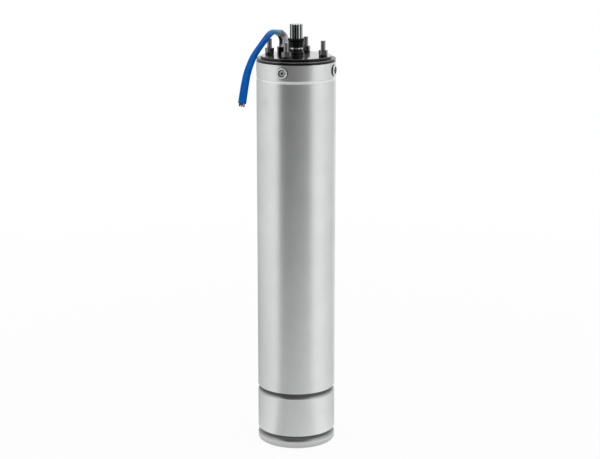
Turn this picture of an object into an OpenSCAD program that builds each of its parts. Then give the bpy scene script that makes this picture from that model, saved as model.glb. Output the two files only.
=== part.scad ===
// Four-inch borehole submersible motor: stainless shell, studded flange, splined shaft and flat lead.
// Millimetres. +Z runs up the shaft, and the origin is the middle of the foot.

/* [Shell] */
// Outside diameter of the shell
shell_d = 98; // [94:0.5:100]
// Wall thickness of the shell
shell_wall = 2; // [1.6:0.1:2.4]
// Length of the shell from its foot to its top edge
shell_len = 488; // [440:1:540]
// Height of the low keying groove above the foot
low_groove_z = 12.2; // [11.5:0.1:16]
// Height of the high keying groove above the foot
high_groove_z = 68.7; // [66:0.1:72]
// Width of a keying groove at the shell's surface
groove_w = 8.6; // [7:0.1:10]
// Depth of a keying groove
groove_depth = 2.1; // [1.2:0.1:2.2]
// Distance of the pressed ring line below the shell's top
ring_line_drop = 21; // [18:0.5:24]
// Outside radius of the turned-in foot
foot_r = 3; // [2.6:0.1:3.6]
// Width of the flat foot ring
foot_w = 3; // [2:0.5:5]

/* [Flange] */
// Height of the flange lip above the shell
lip_h = 4.1; // [3:0.1:7]
// Diameter of the pilot register
pilot_d = 87.3; // [86.8:0.1:88.5]
// Height of the pilot register
pilot_h = 2.9; // [1.5:0.1:4]
// Diameter of the shaft collar on the face
collar_d = 19.6; // [19:0.1:24]
// Height of the shaft collar
collar_h = 4.5; // [3:0.1:6]
// Thickness of the flange between its face and the seal seat
face_wall = 12; // [11:0.5:14]
// Thickness of the skirt inside the shell
skirt_t = 6; // [5:0.5:8]

/* [Studs and screws] */
// Diameter of the circle that the studs stand on
stud_pcd = 70; // [68:0.1:70.5]
// Diameter of the stud thread
stud_d = 6; // [5.5:0.5:7]
// Height of the studs above the face
stud_rise = 19; // [16:0.5:24]
// Depth of the studs in the flange
stud_depth = 10; // [8:0.5:10]
// Width of the stud nuts across flats
nut_af = 10; // [9.5:0.5:11]
// Height of the stud nuts
nut_h = 5.6; // [4:0.1:6.5]
// Outside diameter of the spring washers under the nuts
spring_washer_d = 10.6; // [10:0.1:12]
// Thickness of the spring washers
spring_washer_t = 2; // [1.4:0.1:2.4]
// Diameter of the case screws' heads
screw_head_d = 13; // [11:0.5:14]
// Height of the case screws' heads
screw_head_h = 5; // [4:0.1:6]
// Distance of the case screws below the shell's top
screw_drop = 9.5; // [9:0.1:11]
// Length of the case screws' shanks
screw_len = 7; // [5:0.5:9]

/* [Shaft] */
// Outside diameter of the spline
spline_d = 15.875; // [15.2:0.025:15.95]
// Root diameter of the spline
spline_root_d = 13.4; // [12.8:0.1:13.8]
// Number of spline teeth
spline_teeth = 14; // [10:1:16]
// Length of the spline
spline_len = 17.6; // [14:0.1:20]
// Height of the shaft's end above the face
shaft_rise = 38.2; // [36:0.1:42]
// Diameter of the shaft at the seal and slinger
shaft_d = 16; // [16:0.1:16.6]
// Diameter of the shaft in the rotor core
rotor_seat_d = 22; // [21:0.5:24]
// Diameter of the sand slinger's lip
slinger_d = 20.6; // [19.5:0.1:24]
// Height of the bare shaft between the collar and the slinger
slinger_gap = 5.1; // [3:0.1:6]

/* [Shaft seal] */
// Outside diameter of the stationary seat
seat_d = 27; // [26:0.5:29]
// Height of the seat and its cup
seat_h = 6.6; // [5.5:0.1:8]
// Height of the rotating seal head
seal_head_h = 6; // [5:0.1:8]
// Length of the seal spring
seal_spring_h = 10; // [8:0.5:12]
// Diameter of the seal spring's wire
seal_wire_d = 1.6; // [1.2:0.1:1.8]

/* [Bearings] */
// Bore of the upper bearing
top_bore = 17; // [17:0.1:18]
// Outside diameter of the upper bearing
top_od = 40; // [39.5:0.1:41]
// Width of the upper bearing
top_w = 12; // [11:0.5:14]
// Diameter of the upper bearing's balls
top_ball_d = 6.75; // [6.2:0.05:7]
// Number of balls in the upper bearing
top_balls = 8; // [6:1:8]
// Bore of the thrust bearing
low_bore = 20; // [20:0.1:21]
// Outside diameter of the thrust bearing
low_od = 47; // [46.5:0.1:48]
// Width of the thrust bearing
low_w = 14; // [13:0.5:16]
// Diameter of the thrust bearing's balls
low_ball_d = 7.94; // [7.4:0.02:8]
// Number of balls in the thrust bearing
low_balls = 10; // [7:1:10]

/* [Stator and rotor] */
// Space between the end windings and the castings above and below
winding_gap = 14; // [6:0.5:20]
// Bore of the stator stack
stator_bore = 45.8; // [44.8:0.1:47]
// Radial air gap between rotor and stator
air_gap = 0.4; // [0.3:0.05:0.8]
// Number of stator slots
slots = 24; // [18:3:24]
// Width of a stator slot
slot_w = 3.4; // [3:0.1:3.8]
// Depth of a stator slot behind its mouth
slot_depth = 10.5; // [8:0.5:12]
// Length of the end windings beyond the stack
overhang = 42; // [34:1:44]
// Number of bars in the rotor cage
cage_bars = 18; // [14:1:20]
// Height of the rotor cage's end rings
end_ring_h = 9; // [6:0.5:12]

/* [Lower end] */
// Height of the bottom cover
cover_h = 52; // [48:0.5:54]
// Thickness of the bottom cover's floor
cover_floor = 5; // [4:0.5:6]
// Thickness of the diaphragm
diaphragm_t = 2; // [1.5:0.1:3]
// Distance from the bracket's foot to the thrust bearing
bearing_rise = 19; // [17:0.5:22]
// Thickness of the bracket's bearing shelf
shelf_t = 10; // [9.5:0.5:12]
// Height of the lock nut
lock_nut_h = 8; // [6:0.5:8]

/* [Lead] */
// Distance of the lead gland's axis outside the bearing hub
lead_offset = 4; // [3.6:0.1:5]
// Direction of the lead gland from the shaft
lead_angle = 142; // [136:1:148]
// Width of the gland nut across flats
gland_af = 15.5; // [15:0.5:17]
// Height of the gland nut above the face
gland_h = 7.5; // [5:0.1:8.5]
// Width of the flat lead
lead_w = 10.5; // [9:0.1:12]
// Thickness of the flat lead
lead_t = 5; // [4:0.1:5.5]

/* [Hidden] */
$fn = 96;

// Fits and clearances: seated pieces, faces that run on a film, and how far a cut runs past a face
fit = 0.03;
seal_film = 0.1;
over = 1;
// Every edge break and the number of studs and case screws
edge = 0.5;
fasteners = 4;
// A thread's core, as a share of its diameter
thread_core = 0.85;

// Shell
shell_r = shell_d / 2;
bore_r = shell_r - shell_wall;
inside_r = bore_r - fit;
ring_line_w = 3.6;
ring_line_depth = 0.7;
foot_inner_r = shell_r - foot_r - foot_w;
head_gap = 0.5;

// Flange heights, from the face down to the end of the skirt
lip_step = 0.3;
lip_r = shell_r - lip_step;
lip_round = 1.2;
face_z = shell_len + lip_h + pilot_h;
seat_top_z = face_z - face_wall;
seat_z = seat_top_z - seat_h;
head_z = seat_z - seal_head_h;
drive_h = 2;
drive_z = head_z - seal_spring_h - drive_h;
top_bearing_z = drive_z - top_w;
skirt_below = 6;
skirt_z = top_bearing_z - skirt_below;
screw_z = shell_len - screw_drop;
spot_face = 1;
screw_seat_r = inside_r - spot_face;
pocket_roof = 3.5;
pocket_top_z = screw_z - screw_head_d / 2 - pocket_roof;
shaft_gap = 0.5;
cavity_step = 2.5;
cavity_r = top_od / 2 - cavity_step;
hub_t = 5;
hub_r = top_od / 2 + hub_t;
preload_t = 1.2;
preload_play = 0.3;
seat_cup_t = 1.5;
seat_cup_floor = 1;
seat_gap = 1.2;
seal_head_gap = 0.6;
seal_head_inset = 1;
seal_nose_h = 2;
seal_nose_w = 2;
bellows_t = 1.6;
bellows_flange_t = 0.8;
seal_coil_gap = 3.1;
seal_coil_r = shaft_d / 2 + seal_coil_gap;
seal_coil_turns = 4;
coil_steps = 14;
drive_rim_t = 1;
drive_rim_h = 3;
drive_play = 0.3;
oring_d = 3;
oring_squeeze = 0.4;
oring_room = 1.4;
flange_oring_rise = 14;
flange_oring_z = skirt_z + flange_oring_rise;

// Studs: the free end has the thread's full diameter, and what is screwed in has its core's
stud_core_r = stud_d * thread_core / 2;
spring_washer_slit = 1.2;
spring_washer_turn = 120;
nut_face_share = 0.96;
nut_chamfer_share = 0.6;
nut_z = face_z + spring_washer_t;
stud_free_z = nut_z + nut_h;

// Case screws
screw_core_r = 3.4;
screw_socket_af = 8.5;
screw_socket_depth = 2.6;
screw_turn = 30;

// Shaft
shaft_top_z = face_z + shaft_rise;
spline_z = shaft_top_z - spline_len;
slinger_z = face_z + collar_h + slinger_gap;
spline_phase = 13;
spline_chamfer = 1;
tooth_half_angle = 30;
tooth_tip_least = 0.05;
slinger_step = 1;
slinger_lip_h = 2.2;
slinger_flare_h = 1.8;
shaft_shoulder = 1.9;

// Lower end, from the foot up
cover_z = shell_wall;
cover_wall_t = 7.6;
cover_wall_r = bore_r - cover_wall_t;
rim_h = 2.5;
bracket_z = cover_z + cover_h + rim_h;
low_bearing_z = bracket_z + bearing_rise;
low_bearing_top_z = low_bearing_z + low_w;
bracket_wall_t = 7.5;
bracket_wall_rise = 6;
bracket_wall_top_z = low_bearing_top_z + bracket_wall_rise;
bracket_oring_drop = 2;
bracket_oring_z = low_bearing_top_z - bracket_oring_drop;
low_hub_rise = 5;
hub_top_z = low_bearing_top_z + low_hub_rise;
shelf_w = 6.5;
shelf_hole_r = low_od / 2 - shelf_w;
low_hub_t = 6;
low_hub_r = low_od / 2 + low_hub_t;
retaining_t = 1.75;
retaining_w = 3;
retaining_groove = 1.1;
retaining_gap = 30;
lock_washer_t = 1.5;
lock_nut_z = low_bearing_z - lock_washer_t - lock_nut_h;
shaft_tail = 2;
shaft_foot_z = lock_nut_z - shaft_tail;
low_thread_step = 1;
low_thread_r = low_bore / 2 - low_thread_step;
lock_nut_t = 5.5;
lock_nut_r = low_bore / 2 + lock_nut_t;
lock_washer_inset = 1.5;

// Bearings: the balls run on a circle midway between bore and outside
ball_play = 0.13;
land_share = 0.55;
cage_share = 0.32;
cage_rim = 0.9;

// Stator and rotor, midway between the bracket and the flange
stack_z = bracket_wall_top_z + winding_gap + overhang;
stack_top_z = skirt_z - winding_gap - overhang;
stack_len = stack_top_z - stack_z;
slot_mouth_w = 1.6;
slot_lip = 2.2;
slot_liner = 0.3;
winding_clear = 4;
winding_round = 4;
winding_step = 2;
rotor_r = stator_bore / 2 - air_gap;
bar_d = 3.6;
bar_depth = 3;
bar_ring_r = rotor_r - bar_depth;
end_ring_inset = 0.5;
end_ring_clear = 2;
rotor_stop = 1.5;
rotor_stop_gap = 6;
rotor_seat_rise = 3;

// Lead: the route is [distance along lead_heading from the gland, height above the face, twist]
lead_r = hub_r + lead_offset;
lead_at = [lead_r * cos(lead_angle), lead_r * sin(lead_angle)];
lead_heading = 245;
lead_route = [
  [0, gland_h, 0], [-0.5, 11, 0], [-0.5, 14.5, 0], [0.4, 18, 0], [2.6, 21.4, 0], [5.6, 24, 0],
  [9, 25.8, 0], [13, 27, 0], [17.5, 27, 0], [22, 25.8, 2], [26.5, 23, 5], [31.5, 18.8, 8],
  [36.5, 14.4, 10], [41.8, 9.6, 10], [47, 4.6, 9], [51.8, -0.8, 6], [56.2, -7.5, 2], [60, -14.5, -3],
  [63, -21.5, -8], [65.3, -29, -13], [67.2, -36.5, -18], [68.8, -43.5, -22], [70.2, -50, -25],
  [71.4, -56, -27]
];
boot_end = 6;
boot_d = 12.4;
boot_extra = 1.4;
plug_r = 6.5;
plug_recess = 1.5;
plug_foot_z = pocket_top_z + plug_recess;
gland_thread_r = 7.4;
gland_depth = 10;
gland_bore_r = 5.2;
pin_r = 1.1;
pin_ring_r = 2.9;
pin_drop = 6;
pin_grip = 12;
pin_foot_z = plug_foot_z - pin_drop;
lead_wire_r = 1.6;
core_r = 1.3;
core_stub = 4;
conductors = 3;
sheath_room = 0.3;

// Eight-cornered section of a ring, or four corners when it has no edge break
function ring_section(r0, r1, z0, z1, c) = c == 0
  ? [[r0, z0], [r1, z0], [r1, z1], [r0, z1]]
  : [[r0, z0 + c], [r0 + c, z0], [r1 - c, z0], [r1, z0 + c],
     [r1, z1 - c], [r1 - c, z1], [r0 + c, z1], [r0, z1 - c]];

// Ring about the shaft from radius r0 to r1 and from height z0 to z1
module ring(r0, r1, z0, z1, c = 0) {
  rotate_extrude() polygon(ring_section(r0, r1, z0, z1, c));
}

// Copies of the children, evenly spaced about the shaft
module around(n, phase = 0) {
  for (i = [0 : n - 1]) rotate(phase + i * 360 / n) children();
}

// Children drawn up +Z, laid outward along +X at height z from radius r
module outward(r, z) {
  translate([r, 0, z]) rotate([0, 90, 0]) children();
}

// Radius of a rolled groove from its width and depth
function rolled_r(w, depth) = (w * w / 4 + depth * depth) / (2 * depth);

// Round that a roller presses at height z, grown by the given amount
module roller(w, depth, z, grow = 0) {
  r = rolled_r(w, depth);
  translate([shell_r - depth + r, z]) circle(r + grow);
}

// Part of a rolled bead that stands inside the shell's bore, grown by a clearance
module bead(z, grow = 0) {
  intersection() {
    roller(groove_w, groove_depth, z, shell_wall + grow);
    translate([bore_r - groove_depth - over, z - groove_w])
      square([groove_depth + over + shell_wall / 2, 2 * groove_w]);
  }
}

module shell_section() {
  inner_round = foot_r - shell_wall;
  difference() {
    union() {
      translate([bore_r, foot_r]) square([shell_wall, shell_len - foot_r]);
      translate([foot_inner_r, 0]) square([foot_w, shell_wall]);
      intersection() {
        translate([shell_r - foot_r, 0]) square(foot_r);
        difference() {
          translate([shell_r - foot_r, foot_r]) circle(foot_r);
          translate([shell_r - foot_r, foot_r]) circle(inner_round);
        }
      }
      bead(low_groove_z);
      bead(high_groove_z);
    }
    roller(groove_w, groove_depth, low_groove_z);
    roller(groove_w, groove_depth, high_groove_z);
    roller(ring_line_w, ring_line_depth, shell_len - ring_line_drop);
  }
}

module stator_shell() {
  color("#c3c6c6") difference() {
    rotate_extrude() shell_section();
    around(fasteners)
      outward(bore_r - groove_depth, screw_z)
        cylinder(r = screw_head_d / 2 + head_gap, h = shell_wall + 2 * groove_depth);
  }
}

// O-ring groove in a wall of radius r, cut from outside
module oring_groove(r, z) {
  depth = oring_d - oring_squeeze;
  groove_h = oring_d * oring_room;
  translate([r - depth, z - groove_h / 2]) square([depth + over, groove_h]);
}

// O-ring pressed between such a groove and the shell
module oring(z) {
  depth = oring_d - oring_squeeze;
  rotate_extrude() intersection() {
    translate([inside_r - depth + oring_d / 2, z]) circle(d = oring_d);
    translate([inside_r - depth, z - oring_d]) square([depth, 2 * oring_d]);
  }
}

module flange_section() {
  pilot_r = pilot_d / 2;
  hole_r = shaft_d / 2 + shaft_gap;
  difference() {
    union() {
      translate([hole_r, skirt_z]) square([inside_r - hole_r, shell_len - skirt_z]);
      translate([hole_r, shell_len]) square([lip_r - hole_r - lip_round, lip_h]);
      translate([hole_r, shell_len]) square([lip_r - hole_r, lip_h - lip_round]);
      translate([lip_r - lip_round, shell_len + lip_h - lip_round]) circle(lip_round);
      polygon([
        [hole_r, shell_len], [pilot_r, shell_len], [pilot_r, face_z - edge],
        [pilot_r - edge, face_z], [hole_r, face_z]
      ]);
      polygon([
        [hole_r, face_z - over], [collar_d / 2, face_z - over], [collar_d / 2, face_z + collar_h - edge],
        [collar_d / 2 - edge, face_z + collar_h], [hole_r, face_z + collar_h]
      ]);
    }
    translate([0, skirt_z - over]) square([top_od / 2 + fit, top_w + skirt_below + preload_t + fit + over]);
    translate([0, skirt_z]) square([cavity_r, seat_z - skirt_z]);
    translate([0, skirt_z]) square([seat_d / 2 + seat_cup_t + fit, seat_top_z - skirt_z]);
    translate([hub_r, skirt_z - over])
      square([inside_r - skirt_t - hub_r, pocket_top_z - skirt_z + over]);
    oring_groove(inside_r, flange_oring_z);
  }
}

module upper_flange() {
  color("#17181a") difference() {
    rotate_extrude() flange_section();
    around(fasteners) translate([stud_pcd / 2, 0, face_z - stud_depth - fit])
      cylinder(r = stud_core_r + fit, h = stud_depth + over);
    around(fasteners) outward(screw_seat_r, screw_z)
      cylinder(r = screw_head_d / 2 + head_gap, h = screw_head_h);
    around(fasteners) outward(screw_seat_r - screw_len - fit, screw_z)
      cylinder(r = screw_core_r + fit, h = screw_len + over);
    translate([lead_at.x, lead_at.y, pocket_top_z - over])
      cylinder(r = plug_r + fit, h = face_z - pocket_top_z);
    translate([lead_at.x, lead_at.y, face_z - gland_depth])
      cylinder(r = gland_thread_r + fit, h = gland_depth + over);
  }
}

module flange_oring() {
  color("#202020") oring(flange_oring_z);
}

module bracket_oring() {
  color("#202020") oring(bracket_oring_z);
}

module flange_studs() {
  tip_z = face_z + stud_rise;
  stud_r = stud_d / 2;
  chamfer = stud_r - stud_core_r;
  color("#8d9092") around(fasteners) translate([stud_pcd / 2, 0, 0]) rotate_extrude()
    polygon([
      [0, face_z - stud_depth], [stud_core_r, face_z - stud_depth], [stud_core_r, stud_free_z],
      [stud_r, stud_free_z], [stud_r, tip_z - chamfer], [stud_core_r, tip_z], [0, tip_z]
    ]);
}

// Hexagon nut about Z with both ends chamfered to its flats
module hex_nut(af, h, bore) {
  corner_r = af / sqrt(3);
  face_r = af / 2 * nut_face_share;
  chamfer = (corner_r - af / 2) * nut_chamfer_share;
  difference() {
    intersection() {
      cylinder(r = corner_r, h = h, $fn = 6);
      rotate_extrude() polygon([
        [0, 0], [face_r, 0], [corner_r, chamfer], [corner_r, h - chamfer], [face_r, h], [0, h]
      ]);
    }
    translate([0, 0, -over]) cylinder(r = bore, h = h + 2 * over);
  }
}

module stud_nuts() {
  color("#9a9d9f") around(fasteners) translate([stud_pcd / 2, 0, nut_z])
    hex_nut(nut_af, nut_h, stud_core_r + fit);
}

module spring_washers() {
  inner_r = stud_core_r + fit;
  color("#6f7274") around(fasteners) translate([stud_pcd / 2, 0, face_z])
    difference() {
      ring(inner_r, spring_washer_d / 2, 0, spring_washer_t, edge / 2);
      rotate(spring_washer_turn) translate([0, -spring_washer_slit / 2, -over])
        cube([spring_washer_d, spring_washer_slit, spring_washer_t + 2 * over]);
    }
}

module case_screws() {
  head_r = screw_head_d / 2;
  color("#b4b7b9") around(fasteners) outward(screw_seat_r, screw_z) difference() {
    rotate_extrude() polygon([
      [0, -screw_len], [screw_core_r - edge, -screw_len], [screw_core_r, edge - screw_len],
      [screw_core_r, 0], [head_r, 0], [head_r, screw_head_h - 2 * edge], [head_r - 2 * edge, screw_head_h],
      [0, screw_head_h]
    ]);
    translate([0, 0, screw_head_h - screw_socket_depth]) rotate(screw_turn)
      cylinder(r = screw_socket_af / sqrt(3), h = screw_socket_depth + over, $fn = 6);
  }
}

// Shaft seal

module seal_seat() {
  color("#e4e0d8") ring(shaft_d / 2 + seat_gap, seat_d / 2, seat_z, seat_top_z - seat_cup_floor, edge);
}

module seal_seat_cup() {
  inner_r = seat_d / 2 + fit;
  outer_r = seat_d / 2 + seat_cup_t;
  floor_r = shaft_d / 2 + seat_gap + edge;
  floor_z = seat_top_z - seat_cup_floor;
  color("#242424") rotate_extrude() polygon([
    [inner_r, seat_z + seat_cup_floor], [outer_r, seat_z + seat_cup_floor], [outer_r, seat_top_z],
    [floor_r, seat_top_z], [floor_r, floor_z], [inner_r, floor_z]
  ]);
}

module seal_head() {
  inner_r = shaft_d / 2 + seal_head_gap;
  body_r = seat_d / 2 - seal_head_inset;
  nose_r = body_r - seal_head_inset;
  nose_z = seat_z - seal_nose_h;
  color("#33363a") rotate_extrude() polygon([
    [inner_r, head_z], [body_r, head_z], [body_r, nose_z], [nose_r, nose_z],
    [nose_r, seat_z - seal_film], [nose_r - seal_nose_w, seat_z - seal_film],
    [nose_r - seal_nose_w, nose_z + edge], [inner_r, nose_z + edge]
  ]);
}

module seal_bellows() {
  inner_r = shaft_d / 2 + fit;
  sleeve_r = shaft_d / 2 + bellows_t;
  flange_r = seat_d / 2 - seal_head_inset;
  color("#1d1d1d") rotate_extrude() polygon([
    [inner_r, drive_z + drive_h], [sleeve_r, drive_z + drive_h], [sleeve_r, head_z - bellows_flange_t],
    [flange_r, head_z - bellows_flange_t], [flange_r, head_z], [inner_r, head_z]
  ]);
}

// Tube of the given number of sides whose rings are listed in order
module skin(rings) {
  sides = len(rings[0]);
  last = len(rings) - 1;
  walls = [
    for (i = [0 : last - 1], j = [0 : sides - 1])
      let (a = i * sides + j, b = i * sides + (j + 1) % sides)
      each [[a, a + sides, b], [b, a + sides, b + sides]]
  ];
  start_cap = [for (j = [0 : sides - 1]) j];
  end_cap = [for (j = [sides - 1 : -1 : 0]) last * sides + j];
  polyhedron([for (r = rings) each r], concat(walls, [start_cap, end_cap]), convexity = 6);
}

module seal_spring() {
  wire_r = seal_wire_d / 2;
  z0 = drive_z + drive_h + wire_r + fit;
  z1 = head_z - bellows_flange_t - wire_r - fit;
  steps = seal_coil_turns * coil_steps;
  color("#b9bcbe") skin([
    for (i = [0 : steps])
      let (a = i * 360 / coil_steps, z = z0 + (z1 - z0) * i / steps)
      [for (j = [0 : 7])
        let (b = -j * 45, r = seal_coil_r + wire_r * cos(b))
        [r * cos(a), r * sin(a), z + wire_r * sin(b)]]
  ]);
}

module seal_drive_ring() {
  inner_r = shaft_d / 2 + fit;
  wall_r = seal_coil_r + seal_wire_d / 2 + drive_play;
  rim_r = wall_r + drive_rim_t;
  floor_z = drive_z + drive_h;
  color("#b0b3b5") rotate_extrude() polygon([
    [inner_r, drive_z], [rim_r, drive_z], [rim_r, floor_z + drive_rim_h],
    [wall_r, floor_z + drive_rim_h], [wall_r, floor_z], [inner_r, floor_z]
  ]);
}

// Ball bearings

function pitch_r(bore, od) = (bore + od) / 4;

module outer_ring(bore, od, w, ball_d, z) {
  pitch = pitch_r(bore, od);
  land_r = pitch + land_share * ball_d / 2;
  translate([0, 0, z + w / 2]) rotate_extrude() difference() {
    polygon(ring_section(land_r, od / 2, -w / 2, w / 2, edge));
    translate([pitch, 0]) circle(ball_d / 2 + ball_play);
  }
}

module inner_ring(bore, od, w, ball_d, z) {
  pitch = pitch_r(bore, od);
  land_r = pitch - land_share * ball_d / 2;
  translate([0, 0, z + w / 2]) rotate_extrude() difference() {
    polygon(ring_section(bore / 2, land_r, -w / 2, w / 2, edge));
    translate([pitch, 0]) circle(ball_d / 2 + ball_play);
  }
}

module balls(bore, od, w, ball_d, count, z) {
  translate([0, 0, z + w / 2]) around(count) translate([pitch_r(bore, od), 0, 0]) sphere(d = ball_d);
}

module ball_cage(bore, od, w, ball_d, count, z) {
  pitch = pitch_r(bore, od);
  half_t = cage_share * ball_d / 2;
  half_h = ball_d / 2 + ball_play + cage_rim;
  translate([0, 0, z + w / 2]) difference() {
    ring(pitch - half_t, pitch + half_t, -half_h, half_h);
    around(count) outward(pitch - ball_d, 0) cylinder(r = ball_d / 2 + ball_play, h = 2 * ball_d);
  }
}

module upper_outer_ring() {
  color("#a9acae") outer_ring(top_bore, top_od, top_w, top_ball_d, top_bearing_z);
}

module upper_inner_ring() {
  color("#b3b6b8") inner_ring(top_bore, top_od, top_w, top_ball_d, top_bearing_z);
}

module upper_balls() {
  color("#d8dadb") balls(top_bore, top_od, top_w, top_ball_d, top_balls, top_bearing_z);
}

module upper_cage() {
  color("#b08d3c") ball_cage(top_bore, top_od, top_w, top_ball_d, top_balls, top_bearing_z);
}

module preload_ring() {
  color("#c7cacb") ring(cavity_r + preload_play, top_od / 2 - preload_play, drive_z, drive_z + preload_t);
}

module thrust_outer_ring() {
  color("#a9acae") outer_ring(low_bore, low_od, low_w, low_ball_d, low_bearing_z);
}

module thrust_inner_ring() {
  color("#b3b6b8") inner_ring(low_bore, low_od, low_w, low_ball_d, low_bearing_z);
}

module thrust_balls() {
  color("#d8dadb") balls(low_bore, low_od, low_w, low_ball_d, low_balls, low_bearing_z);
}

module thrust_cage() {
  color("#b08d3c") ball_cage(low_bore, low_od, low_w, low_ball_d, low_balls, low_bearing_z);
}

module thrust_retaining_ring() {
  inner_r = low_od / 2 - retaining_w;
  outer_r = low_od / 2 + retaining_groove - fit;
  color("#55585a") translate([0, 0, low_bearing_top_z])
    rotate(retaining_gap / 2) rotate_extrude(angle = 360 - retaining_gap)
      translate([inner_r, 0]) square([outer_r - inner_r, retaining_t]);
}

// Stator

// Slot with a round back and a narrow mouth, shrunk on every side by the liner
module slot(liner, mouth) {
  start_r = stator_bore / 2 + slot_lip + liner;
  back_r = stator_bore / 2 + slot_lip + slot_depth - slot_w / 2;
  half_w = slot_w / 2 - liner;
  translate([start_r, -half_w]) square([back_r - start_r, 2 * half_w]);
  translate([back_r, 0]) circle(half_w);
  if (mouth) translate([stator_bore / 2 - over, -slot_mouth_w / 2])
    square([slot_lip + 2 * over, slot_mouth_w]);
}

module stator_core() {
  color("#7c7f82") translate([0, 0, stack_z]) linear_extrude(stack_len) difference() {
    circle(inside_r);
    circle(stator_bore / 2);
    around(slots) slot(0, true);
  }
}

// Section of an end winding with rounded corners
module end_winding(z0, z1) {
  inner_r = stator_bore / 2 + slot_lip + slot_liner;
  outer_r = stator_bore / 2 + slot_lip + slot_depth + winding_step;
  r = winding_round;
  rotate_extrude() {
    translate([inner_r, z0 + r]) square([outer_r - inner_r, z1 - z0 - 2 * r]);
    translate([inner_r + r, z0]) square([outer_r - inner_r - 2 * r, z1 - z0]);
    for (x = [inner_r + r, outer_r - r], z = [z0 + r, z1 - r]) translate([x, z]) circle(r);
  }
}

module stator_winding() {
  color("#b06a35") union() {
    translate([0, 0, stack_z - winding_clear - over])
      linear_extrude(stack_len + 2 * winding_clear + 2 * over) around(slots) slot(slot_liner, false);
    end_winding(stack_top_z + winding_clear, stack_top_z + overhang);
    end_winding(stack_z - overhang, stack_z - winding_clear);
  }
}

// Places of the plug's pins and the winding leads under them
module at_pins() {
  translate([lead_at.x, lead_at.y, 0]) rotate(lead_angle) around(conductors)
    translate([pin_ring_r, 0, 0]) children();
}

module winding_leads() {
  color("#a33a2c") at_pins() translate([0, 0, stack_top_z + overhang])
    cylinder(r = lead_wire_r, h = pin_foot_z - stack_top_z - overhang);
}

// Rotor

// Spline outline: straight-flanked teeth between the root circle and the outside
module spline_section() {
  pitch = (spline_d + spline_root_d) / 4;
  half_tooth = PI * pitch / (2 * spline_teeth);
  tip_r = spline_d / 2 + over;
  root_r = spline_root_d / 2 - over;
  slope = tan(tooth_half_angle);
  tip_half = max(half_tooth - (tip_r - pitch) * slope, tooth_tip_least);
  intersection() {
    circle(d = spline_d);
    union() {
      circle(d = spline_root_d);
      around(spline_teeth, spline_phase) polygon([
        [root_r, -half_tooth - (pitch - root_r) * slope], [tip_r, -tip_half],
        [tip_r, tip_half], [root_r, half_tooth + (pitch - root_r) * slope]
      ]);
    }
  }
}

module shaft_body() {
  thread_r = low_thread_r;
  journal_r = low_bore / 2 - fit;
  seat_r = rotor_seat_d / 2;
  stop_r = seat_r + rotor_stop;
  upper_r = top_bore / 2 + shaft_shoulder;
  stop_top_z = stack_z - end_ring_h - rotor_stop_gap;
  seat_top = stack_top_z + end_ring_h + rotor_seat_rise;
  rotate_extrude() polygon([
    [0, shaft_foot_z], [thread_r - edge, shaft_foot_z], [thread_r, shaft_foot_z + edge],
    [thread_r, low_bearing_z], [journal_r, low_bearing_z], [journal_r, low_bearing_top_z],
    [stop_r, low_bearing_top_z], [stop_r, stop_top_z], [seat_r, stop_top_z], [seat_r, seat_top],
    [upper_r, seat_top], [upper_r, top_bearing_z], [top_bore / 2 - fit, top_bearing_z],
    [top_bore / 2 - fit, drive_z], [shaft_d / 2, drive_z], [shaft_d / 2, spline_z], [0, spline_z]
  ]);
}

module rotor_shaft() {
  end_r = spline_d / 2;
  color("#b7babc") union() {
    shaft_body();
    intersection() {
      translate([0, 0, spline_z - over]) linear_extrude(spline_len + over) spline_section();
      rotate_extrude() polygon([
        [0, spline_z - over], [end_r + over, spline_z - over],
        [end_r + over, shaft_top_z - spline_chamfer - over],
        [end_r - spline_chamfer, shaft_top_z], [0, shaft_top_z]
      ]);
    }
  }
}

module rotor_core() {
  color("#6d7073") translate([0, 0, stack_z]) linear_extrude(stack_len) difference() {
    circle(rotor_r);
    circle(rotor_seat_d / 2 + fit);
    around(cage_bars) translate([bar_ring_r, 0]) circle(d = bar_d + 2 * fit);
  }
}

module rotor_cage() {
  inner_r = rotor_seat_d / 2 + end_ring_clear;
  color("#c4c7c8") union() {
    translate([0, 0, stack_z - over]) linear_extrude(stack_len + 2 * over)
      around(cage_bars) translate([bar_ring_r, 0]) circle(d = bar_d);
    ring(inner_r, rotor_r - end_ring_inset, stack_top_z, stack_top_z + end_ring_h, edge);
    ring(inner_r, rotor_r - end_ring_inset, stack_z - end_ring_h, stack_z, edge);
  }
}

module sand_slinger() {
  bore = shaft_d / 2 + fit;
  lip_edge_r = slinger_d / 2;
  body_r = lip_edge_r - slinger_step;
  h = spline_z - slinger_z;
  lip_z = h - slinger_lip_h;
  color("#141414") translate([0, 0, slinger_z]) rotate_extrude() polygon([
    [bore, 0], [body_r - edge, 0], [body_r, edge], [body_r, lip_z - slinger_flare_h], [lip_edge_r, lip_z],
    [lip_edge_r, h - edge], [lip_edge_r - edge, h], [bore, h]
  ]);
}

module lock_washer() {
  outer_r = lock_nut_r - lock_washer_inset;
  color("#8a8d8f") ring(low_thread_r + fit, outer_r, low_bearing_z - lock_washer_t, low_bearing_z);
}

module lock_nut() {
  spanner_w = 4;
  spanner_depth = 2;
  color("#7f8284") difference() {
    ring(low_thread_r + fit, lock_nut_r, lock_nut_z, lock_nut_z + lock_nut_h, edge);
    around(fasteners) translate([lock_nut_r - spanner_depth, -spanner_w / 2, lock_nut_z - over])
      cube([spanner_depth + over, spanner_w, lock_nut_h + 2 * over]);
  }
}

// Lower end

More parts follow.
